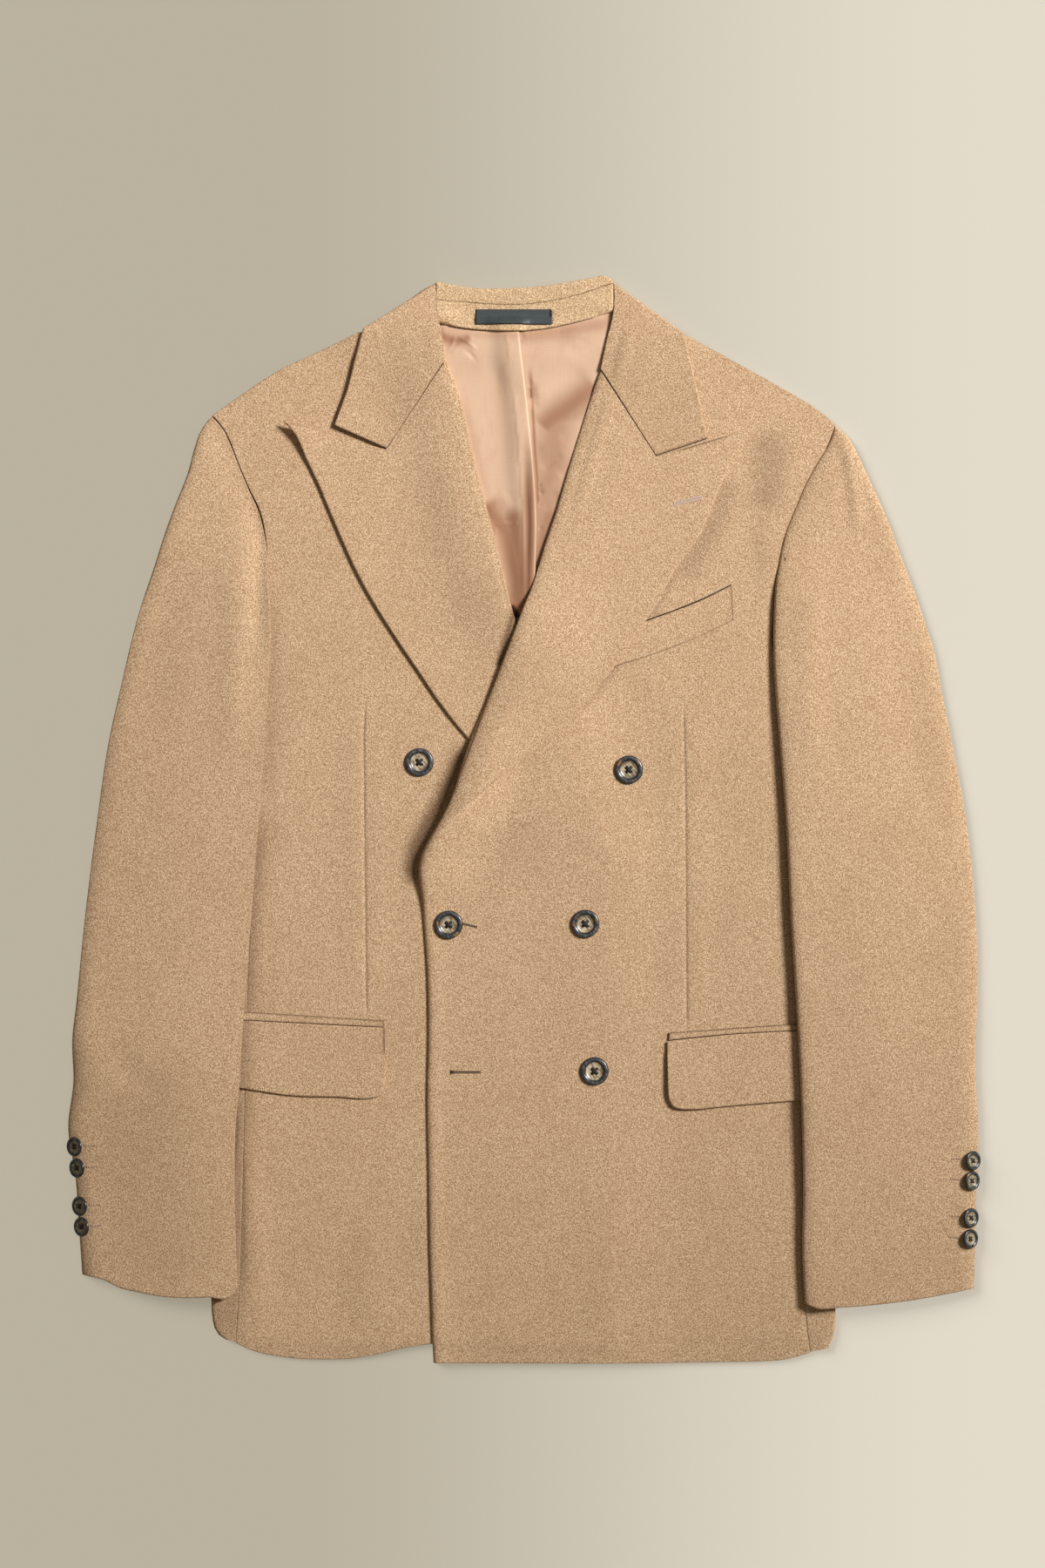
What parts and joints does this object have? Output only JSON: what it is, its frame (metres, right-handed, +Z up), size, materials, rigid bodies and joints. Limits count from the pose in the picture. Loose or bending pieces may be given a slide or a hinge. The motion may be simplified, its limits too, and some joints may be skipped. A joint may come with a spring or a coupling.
{
  "type": "double breasted blazer",
  "caption": "Camel wool flannel double breasted blazer with wide peak lapels, flap pockets and satin lining, buttoned and laid flat on its back.",
  "frame": {"origin": "middle of the rectangle that the laid garment covers, on the surface under it", "axes": "+Y from the hem to the collar; +X to the wearer's left; +Z up from the surface, out of the garment's front"},
  "size_m": [0.6532, 0.7791, 0.0184],
  "materials": {
    "camel_flannel": "matte milled wool flannel, camel with paler and darker fibres",
    "copper_satin": "smooth satin lining with a soft sheen",
    "slate_satin": "fine woven satin label, left bare",
    "dark_horn": "polished dark horn, brown in the middle"
  },
  "bodies": {
    "root": {"back_left": "camel_flannel", "back_right": "camel_flannel", "side_left": "camel_flannel", "side_right": "camel_flannel", "front_left": "camel_flannel", "front_right": "camel_flannel", "lapel_left": "camel_flannel", "lapel_right": "camel_flannel", "collar_leaf_left": "camel_flannel", "collar_leaf_right": "camel_flannel", "collar_fall": "camel_flannel", "collar_roll": "camel_flannel", "collar_stand": "camel_flannel", "breast_welt": "camel_flannel", "jet_left": "camel_flannel", "jet_right": "camel_flannel", "flap_left": "camel_flannel", "flap_right": "camel_flannel", "topsleeve_left": "camel_flannel", "topsleeve_right": "camel_flannel", "undersleeve_left": "camel_flannel", "undersleeve_right": "camel_flannel", "lining_left": "copper_satin", "lining_right": "copper_satin", "neck_label": "slate_satin", "front_button_1": "dark_horn", "front_button_2": "dark_horn", "front_button_3": "dark_horn", "front_button_4": "dark_horn", "front_button_5": "dark_horn", "cuff_button_left_1": "dark_horn", "cuff_button_left_2": "dark_horn", "cuff_button_left_3": "dark_horn", "cuff_button_left_4": "dark_horn", "cuff_button_right_1": "dark_horn", "cuff_button_right_2": "dark_horn", "cuff_button_right_3": "dark_horn", "cuff_button_right_4": "dark_horn"}
  },
  "joints": []
}
